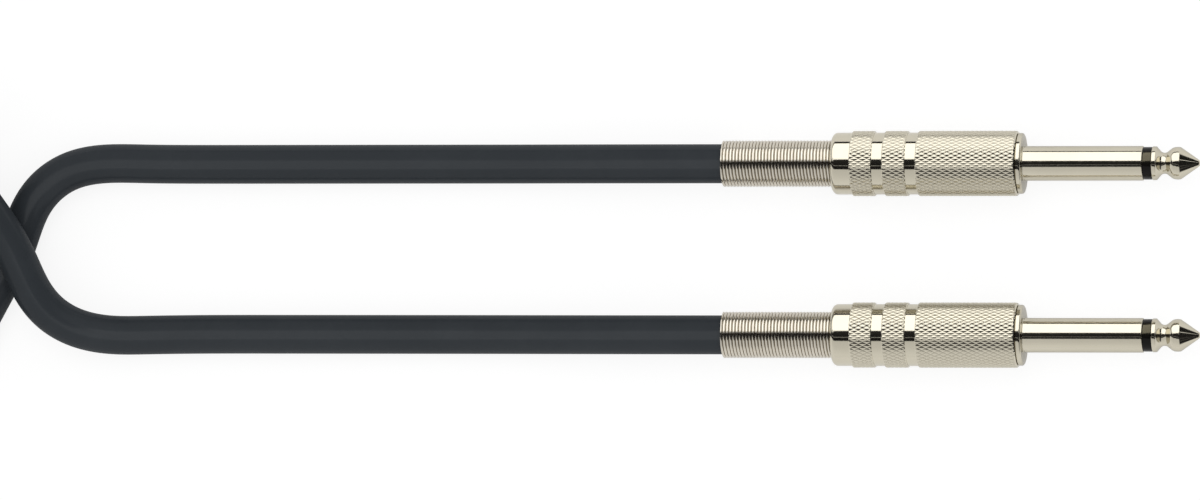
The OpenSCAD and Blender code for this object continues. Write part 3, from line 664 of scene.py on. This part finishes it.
# Diamond knurl: two families of helical V cuts that cross and leave small domed pyramids
knurlTree, given, result = newTree("diamondKnurl", (
    "Front X", "Radius", "Starts", "Pitch", "Depth", "Slope", "Dome", "Band Over"))
tree = knurlTree
x, dy, dz, reach, turned = aboutAxis(tree, given)
count = addNode(tree, "ShaderNodeMath", [turned, given["Starts"]], operation="MULTIPLY")
behind = addNode(tree, "ShaderNodeMath", [given["Front X"], x], operation="SUBTRACT")
rows = addNode(tree, "ShaderNodeMath", [behind, given["Pitch"]], operation="DIVIDE")
folds = []
for crossing in ("ADD", "SUBTRACT"):
    helix = addNode(tree, "ShaderNodeMath", [count, rows], operation=crossing)
    folds.append(addNode(tree, "ShaderNodeMath", [helix, 0.5], operation="PINGPONG"))
least = addNode(tree, "ShaderNodeMath", folds, operation="MINIMUM")
level = addNode(tree, "ShaderNodeMath", [least, given["Slope"]], operation="DIVIDE", use_clamp=True)
under = addNode(tree, "ShaderNodeMath", [1.0, level], operation="SUBTRACT")
domed = addNode(tree, "ShaderNodeMath", [under, given["Dome"]], operation="POWER")
cutIn = addNode(tree, "ShaderNodeMath", [domed, given["Depth"]], operation="MULTIPLY")
cutTo = addNode(tree, "ShaderNodeMath", [given["Radius"], cutIn], operation="SUBTRACT")
lower = addNode(tree, "ShaderNodeMath", [reach, cutTo], operation="MINIMUM")
scaled = addNode(tree, "ShaderNodeMath", [lower, reach], operation="DIVIDE")
lost = addNode(tree, "ShaderNodeMath", [reach, lower], operation="SUBTRACT")
lostShare = addNode(tree, "ShaderNodeMath", [lost, given["Depth"]], operation="DIVIDE")
onBand = addNode(tree, "ShaderNodeMath", [reach, given["Band Over"]], operation="GREATER_THAN")
newSpot = placedAbout(tree, given, x, dy, dz, scaled)
shape = given["Geometry"]
for name, value in (("knurlCut", lostShare), ("knurlBand", onBand)):
    shape = addNode(tree, "GeometryNodeStoreNamedAttribute",
                    {"Geometry": shape, "Name": name, "Value": value}, data_type="FLOAT", domain="POINT")
endTree(tree, given, result, addNode(tree, "GeometryNodeSetPosition", {
    "Geometry": shape, "Position": newSpot}))

# Bend-relief spring: close-wound turns on the jacket, opened out at the front so that the barrel holds it
spring = {
    "front": -31.18, "rear": -55.85, "wire": 0.6, "coil": 3.975, "head": 4.51, "headTurns": 1.5,
    "headEnd": 2.5, "pitch": 0.603, "steps": 56, "wireSides": 12,
    "tail": 0.15,  # what is ground off the wire's rear end
}
springTurns = (spring["front"] - spring["rear"] + spring["tail"]) / spring["pitch"]
springTree, given, result = newTree("coilSpring", (
    "Front X", "Rear X", "Pitch", "Wire Radius", "Coil Radius", "Head Radius", "Head Turns", "Head End"),
    ("Points", "Steps", "Wire Sides"))
tree = springTree
straight = addNode(tree, "GeometryNodeMeshLine", {"Count": given["Points"]})
wireLine = addNode(tree, "GeometryNodeMeshToCurve", [straight])
index = addNode(tree, "GeometryNodeInputIndex")
turn = addNode(tree, "ShaderNodeMath", [index, given["Steps"]], operation="DIVIDE")
angle = addNode(tree, "ShaderNodeMath", [turn, 2 * math.pi], operation="MULTIPLY")
radius = addNode(tree, "ShaderNodeMapRange", {
    "Value": turn, "From Min": given["Head Turns"], "From Max": given["Head End"],
    "To Min": given["Head Radius"], "To Max": given["Coil Radius"]}, interpolation_type="SMOOTHSTEP")
cosine, sine = [addNode(tree, "ShaderNodeMath", [angle], operation=wave) for wave in ("COSINE", "SINE")]
backBy = addNode(tree, "ShaderNodeMath", [turn, given["Pitch"]], operation="MULTIPLY")
newX = addNode(tree, "ShaderNodeMath", [given["Front X"], backBy], operation="SUBTRACT")
newSpot = placedAbout(tree, given, newX, cosine, sine, radius)
wound = addNode(tree, "GeometryNodeSetPosition", {"Geometry": wireLine, "Position": newSpot})
wireRound = addNode(tree, "GeometryNodeCurvePrimitiveCircle", {
    "Resolution": given["Wire Sides"], "Radius": given["Wire Radius"]})
wire = addNode(tree, "GeometryNodeCurveToMesh", {"Curve": wound, "Profile Curve": wireRound,
                                                 "Fill Caps": True})
# the rear end is ground square
spot = addNode(tree, "GeometryNodeInputPosition")
part = addNode(tree, "ShaderNodeSeparateXYZ", [spot]).outputs
squareX = addNode(tree, "ShaderNodeMath", [part["X"], given["Rear X"]], operation="MAXIMUM")
squareSpot = addNode(tree, "ShaderNodeCombineXYZ", [squareX, part["Y"], part["Z"]])
endTree(tree, given, result, addNode(tree, "GeometryNodeSetPosition", {
    "Geometry": wire, "Position": squareSpot}))


# A finish with fine lines that the drawing or rolling left along the part, as (how drawn out, detail), and
# a cloud over it as (size, detail, roughness), which the lines stand in for where there is none
def drawnFinish(name, values, tones, lines, cloud=None, cover=(0, 1), rough=None, relief=None, by="cloud"):
    finish, tree = newFinish(name)
    place = addNode(tree, "ShaderNodeTexCoord").outputs["Object"]
    drawn = addNode(tree, "ShaderNodeMapping", {"Vector": place, "Scale": lines[0]})
    patterns = {"lines": addNode(tree, "ShaderNodeTexNoise", {"Vector": drawn, "Scale": 1.0,
                                                              "Detail": lines[1]})}
    patterns["cloud"] = patterns["lines"] if cloud is None else addNode(tree, "ShaderNodeTexNoise", {
        "Vector": place, "Scale": 1 / (cloud[0] * mm), "Detail": cloud[1], "Roughness": cloud[2]})
    share = addNode(tree, "ShaderNodeMapRange", {"Value": patterns["cloud"], "From Min": cover[0],
                                                 "From Max": cover[1]})
    addShader(tree, values, (share, *tones), rough and (patterns[by], *rough),
              relief and (patterns["lines"], *relief))
    return finish


# Spring wire, drawn and nickelled: a mirror broken by fine lines along the wire
springWire = drawnFinish(
    "drawnSpringWire", {"Metallic": 1.0}, ("d4cec2", "c6bfb1"), lines=((14000.0, 900.0, 900.0), 2.0),
    cloud=(1.5, 5.0, 0.5), rough=(0.06, 0.14), relief=(0.5, 0.003))

barrelLine, barrelRows = barrelOutline()
turnedSides = 128
for plug in "ab":
    tipPiece = turnedPiece(f"plug_{plug}_tip_turned", plug, tipOutline(), turnedSides)
    tipPiece.data.materials.append(nickelPlate)
    ringPiece = turnedPiece(f"plug_{plug}_ring_moulded", plug, ringLine, turnedSides)
    ringPiece.data.materials.append(blackNylon)

    sleevePiece = turnedPiece(f"plug_{plug}_sleeve_turned", plug, sleeveOutline(), turnedSides)
    growPiece(sleevePiece, plug, threadTree, nickelPlate, {
        "Run-out X": plugs["shoulder"] + sleeve["threadFront"], "Radius": sleeve["spigot"],
        "Pitch": sleeve["pitch"], "Depth": sleeve["threadDepth"]})

    barrelPiece = turnedPiece(f"plug_{plug}_barrel_knurled", plug, barrelLine, knurlSides, barrelRows)
    growPiece(barrelPiece, plug, knurlTree, knurledNickel, {
        "Front X": plugs["shoulder"] + barrel["front"], "Radius": barrel["outside"],
        "Pitch": barrel["pitch"], "Depth": barrel["depth"], "Band Over": barrel["bandOver"],
    }, {"Starts": float(barrel["starts"]), "Slope": (1 - barrel["flat"]) / 2, "Dome": barrel["dome"]})

    springPiece = newPiece(f"plug_{plug}_spring_wound", [(0, 0, 0)], [])
    growPiece(springPiece, plug, springTree, springWire, {
        "Front X": plugs["shoulder"] + spring["front"], "Rear X": plugs["shoulder"] + spring["rear"],
        "Pitch": spring["pitch"], "Wire Radius": spring["wire"] / 2, "Coil Radius": spring["coil"],
        "Head Radius": spring["head"],
    }, {"Points": int(springTurns * spring["steps"]) + 1, "Steps": spring["steps"],
        "Wire Sides": spring["wireSides"], "Head Turns": spring["headTurns"],
        "Head End": spring["headEnd"]}, sharp=50)

    for piece, node, body, slot in (
            (tipPiece, "tip", "lead", "nickel"), (ringPiece, "insulator_ring", "lead", "black_insulator"),
            (sleevePiece, "sleeve", "lead", "nickel"), (barrelPiece, "barrel", f"cover_{plug}", "nickel"),
            (springPiece, "spring", f"relief_{plug}", "spring_steel")):
        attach(piece, body)
        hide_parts(f"plug_{plug}_{node}")
        print(piece.name, len(piece.data.polygons), "faces")
print("plugs turned, knurled and sprung")

# Finishes of the parts inside the barrel, which keep the frame's own meshes

# Brass sheet, stamped and tinned: grey-gold, with the rolling lines of the sheet
brassSheet = drawnFinish(
    "tinnedBrassSheet", {"Metallic": 1.0}, ("cdb77e", "c2bca8"), lines=((400.0, 6000.0, 6000.0), 3.0),
    cloud=(1.8, 4.0, 0.5), cover=(0.4, 0.62), rough=(0.22, 0.42), relief=(0.5, 0.004), by="lines")

# Vulcanised fibre, rolled: dull buff, mottled, with short fibres
fibre = drawnFinish(
    "rolledVulcanisedFibre", {"Roughness": 0.8, "IOR": 1.5, "Specular IOR Level": 0.3},
    ("a99a78", "cbbf9f"), lines=((1200.0, 7000.0, 7000.0), 3.0), cloud=(0.8, 6.0, 0.7),
    relief=(0.6, 0.015))

# Polyethylene, extruded natural: milky white with a soft gloss
polyethylene = drawnFinish(
    "extrudedPolyethylene", {"IOR": 1.51, "Subsurface Weight": 0.2, "Subsurface Scale": 0.0008},
    ("e6e2d6", "f1eee6"), lines=((150.0, 3000.0, 3000.0), 2.0), rough=(0.3, 0.4))

# Bare copper, twisted strands: the lay shows as slanted ridges
copper, tree = newFinish("twistedBareCopper")
place = addNode(tree, "ShaderNodeTexCoord").outputs["Object"]
lay = addNode(tree, "ShaderNodeMapping", {"Vector": place, "Rotation": (0.0, 0.0, math.radians(24)),
                                          "Scale": (1.0, 1.0, 0.6)})
strands = addNode(tree, "ShaderNodeTexWave", {"Vector": lay, "Scale": waveRepeat / (0.28 * mm),
                                              "Distortion": 0.4, "Detail": 1.0}, bands_direction="Y")
ridge = strands.outputs["Fac"]
addShader(tree, {"Metallic": 1.0, "Roughness": 0.3}, (ridge, "8c5232", "cf8f68"), relief=(ridge, 0.9, 0.08))

# Solder, cooled in a drop: bright grey with a frosted grain
solder, tree = newFinish("cooledSolder")
place = addNode(tree, "ShaderNodeTexCoord").outputs["Object"]
frost = addNode(tree, "ShaderNodeTexVoronoi", {"Vector": place, "Scale": 1 / (0.3 * mm)})
addShader(tree, {"Metallic": 1.0}, (frost, "c9cacb", "a5a7a9"), (frost, 0.18, 0.4))

insideFinishes = {
    "insulator_tube": blackNylon, "rear_washer": blackNylon, "tip_lug": brassSheet,
    "ground_lug": brassSheet, "liner": fibre, "cable_end": jacketPvc, "core": polyethylene,
    "core_wire": copper, "shield": copper, "solder": solder,
}
for plug in "ab":
    for node, finish in insideFinishes.items():
        inside = nodes[f"plug_{plug}_{node}"]
        if not inside.material_slots:
            inside.data.materials.append(finish)
        for held in inside.material_slots:
            held.material = finish
print("inside parts finished")

# The studio: a white room and table that the polished metal shows with a dark slot in the ceiling, one
# long soft box on the +Y side, a rear wall that is dark overhead, and darkness past the tips with a few
# slits of light in it. Each of these is a row of (angle, brightness) round the plugs' axis, from overhead
# towards +Y.
studio = {
    "fill": 0.86,  # what plain surfaces get from every side
    "skew": 0.2,  # how far the slot and the box run aslant of the plugs, in radians along X
    "straightAt": -0.05,  # X of the direction in which they are at their row's angles
    "bands": (
        (-180, 0.86), (-80, 0.97), (-48, 0.83), (-24.2, 0.77), (-22.8, 0.012), (-11.2, 0.012), (-10.6, 0.5),
        (-9.8, 0.5), (-9.2, 0.012), (15.7, 0.03), (16.5, 0.6), (79.6, 0.6), (80.4, 0.02), (88.8, 0.02),
        (90.0, 1.0), (180, 1.0)),
    "slits": (
        (-180, 0.015), (-52, 0.015), (-50, 0.12), (-47, 0.12), (-45, 0.015), (-26, 0.015), (-25, 0.15),
        (-22, 0.15), (-21, 0.015), (42.5, 0.015), (44.0, 0.9), (49.0, 0.9), (50.5, 0.015), (180, 0.015)),
    "rearWall": ((-180, 1), (-27, 1), (-22, 0.03), (9, 0.03), (14, 1), (180, 1)),
    "pastTips": (0.58, 0.74),  # where along X of the direction the slits take over
    "towardsCable": (-0.82, -0.92),  # and where the rear wall does
    "aboveTable": (-0.01, 0.01),
    "box": {"from": 16.1, "to": 80.0, "away": 2.0, "middle": -0.35, "long": 3.7, "level": 1.4},
    "ringLevel": 13.0,  # of the same box for the black rings, which give back little of it
    "ringTint": (1.0, 0.9, 0.6),
    "key": {"level": 2.6, "size": 0.9, "from": (-0.15, 0.45, 1.35), "at": (-0.1, 0, 0)},
    "strip": {"from": -28.0, "to": 21.0, "high": 1.5, "long": 1.2, "middle": -0.40, "level": 1.8},
}


def grey(level):
    return [level] * 3 + [1.0]


world = bpy.data.worlds.new("whiteStudio")
scene.world = world
world.use_nodes = True
tree = world.node_tree
tree.nodes.clear()
facing = addNode(tree, "ShaderNodeTexCoord").outputs["Generated"]
part = addNode(tree, "ShaderNodeSeparateXYZ", [facing]).outputs
roundAxis = addNode(tree, "ShaderNodeMath", [part["Y"], part["Z"]], operation="ARCTAN2")
aslant = addNode(tree, "ShaderNodeMath", [part["X"], studio["straightAt"]], operation="SUBTRACT")
skewed = addNode(tree, "ShaderNodeMath", [aslant, studio["skew"], roundAxis], operation="MULTIPLY_ADD")
spread = addNode(tree, "ShaderNodeMapRange", {"Value": skewed, "From Min": -math.pi, "From Max": math.pi})
ramps = []
for row in ("bands", "slits", "rearWall"):
    ramps.append(addNode(tree, "ShaderNodeValToRGB", [spread]))
    stops = ramps[-1].color_ramp.elements
    for k, (angle, level) in enumerate(studio[row]):
        at = (angle + 180) / 360
        stop = stops[k] if k < 2 else stops.new(at)
        stop.position = at
        stop.color = grey(level)
pastTips, towardsCable, aboveTable = [
    addNode(tree, "ShaderNodeMapRange", {"Value": part[side], "From Min": start, "From Max": end})
    for side, (start, end) in (
        ("X", studio["pastTips"]), ("X", studio["towardsCable"]), ("Z", studio["aboveTable"]))]
ray = addNode(tree, "ShaderNodeLightPath").outputs
seen = addNode(tree, "ShaderNodeMath", [ray["Is Camera Ray"], ray["Is Transmission Ray"]],
               operation="MAXIMUM")
light = ramps[0].outputs[0]
for share, other, swapped in (
        (pastTips, ramps[1], False), (towardsCable, ramps[2], False), (aboveTable, grey(1.0), True),
        (ray["Is Glossy Ray"], grey(studio["fill"]), True), (seen, grey(1.0), False)):
    first, second = (other, light) if swapped else (light, other)
    light = addNode(tree, "ShaderNodeMix", {0: share, 6: first, 7: second}, data_type="RGBA").outputs[2]
room = addNode(tree, "ShaderNodeBackground", {"Color": light, "Strength": 1.0})
addNode(tree, "ShaderNodeOutputWorld", {"Surface": room})

# White laminate table: it shows white, and darkens only in the shadow under the lead. Its colour is shade
# to the camera and bounce to the rest, and it glows for the camera and for what mirrors it.
tableTop = {"size": 6.0, "height": -0.03, "shade": 0.2, "glow": 0.84, "bounce": 0.86, "mirrored": 0.17}
tableLaminate, tree = newFinish("whiteLaminateTable")
ray = addNode(tree, "ShaderNodeLightPath").outputs
tone = addNode(tree, "ShaderNodeMix", {0: ray["Is Camera Ray"], 6: grey(tableTop["bounce"]),
                                       7: grey(tableTop["shade"])}, data_type="RGBA")
matt = addNode(tree, "ShaderNodeBsdfDiffuse", {"Color": tone.outputs[2]})
mirrored = addNode(tree, "ShaderNodeMath", [ray["Is Glossy Ray"], ray["Is Transmission Ray"]],
                   operation="MAXIMUM")
low = addNode(tree, "ShaderNodeMath", [mirrored, tableTop["mirrored"]], operation="MULTIPLY")
glow = addNode(tree, "ShaderNodeMath", [ray["Is Camera Ray"], tableTop["glow"], low],
               operation="MULTIPLY_ADD")
lit = addNode(tree, "ShaderNodeEmission", {"Color": (1, 1, 1, 1), "Strength": glow})
both = addNode(tree, "ShaderNodeAddShader", [matt, lit])
addNode(tree, "ShaderNodeOutputMaterial", {"Surface": both})
half = tableTop["size"] / 2 / mm
table = newPiece("table", [(x * half, y * half, tableTop["height"])
                           for x, y in ((-1, -1), (1, -1), (1, 1), (-1, 1))], [(0, 1, 2, 3)])
table.data.materials.append(tableLaminate)


# A lamp that faces a point, with its size in metres. With pieces given it lights only those, and shows
# only in their shine.
def newLamp(name, shape, size, energy, place, target, lights=()):
    lamp = bpy.data.lights.new(name, "AREA")
    lamp.shape, lamp.size, lamp.size_y, lamp.energy = shape, size[0], size[-1], energy
    holder = bpy.data.objects.new(name, lamp)
    scene.collection.objects.link(holder)
    holder.location = place
    holder.rotation_euler = (Vector(target) - Vector(place)).to_track_quat("-Z", "Y").to_euler()
    holder.visible_camera = False
    if lights:
        holder.visible_diffuse = False
        reached = bpy.data.collections.new(name + "Reaches")
        for piece in lights:
            reached.objects.link(piece)
        holder.light_linking.receiver_collection = reached
    return holder


# One large soft lamp over the table, a little to the far side
key = studio["key"]
keyLamp = newLamp("softKey", "DISK", (key["size"],), key["level"], key["from"], key["at"])
keyLamp.visible_glossy = False

# The soft box for the plugs, the same box again for the black rings, and a strip overhead that draws the
# sheen along the top of the cable
box, strip, axisHeight = studio["box"], studio["strip"], plugs["height"] * mm
centre = math.radians((box["from"] + box["to"]) / 2)
wide = 2 * box["away"] * math.tan(math.radians((box["to"] - box["from"]) / 2))
plugRings = [scene.objects[f"plug_{plug}_ring_moulded"] for plug in "ab"]
plugMetal = [piece for piece in scene.objects if piece.type == "MESH" and piece.name.startswith("plug_")
             and "_ring" not in piece.name]
for name, level, tint, lights in (("softBox", box["level"], (1, 1, 1), plugMetal),
                                  ("ringBox", studio["ringLevel"], studio["ringTint"], plugRings)):
    lamp = newLamp(
        name, "RECTANGLE", (box["long"], wide), level * math.pi * (box["long"] * wide),
        (box["middle"], box["away"] * math.sin(centre), box["away"] * math.cos(centre) + axisHeight),
        (box["middle"], 0, axisHeight), lights)
    lamp.matrix_basis = lamp.matrix_basis @ Matrix.Rotation(math.atan(studio["skew"]), 4, "Z")
    lamp.data.color = tint
near, far = [strip["high"] * math.tan(math.radians(strip[side])) for side in ("from", "to")]
newLamp("cableStrip", "RECTANGLE", (strip["long"], far - near),
        strip["level"] * math.pi * strip["long"] * (far - near),
        (strip["middle"], (near + far) / 2, strip["high"]), (strip["middle"], (near + far) / 2, 0),
        [cablePiece, tiePiece])

scene.view_settings.view_transform = "Standard"
print("studio lit")
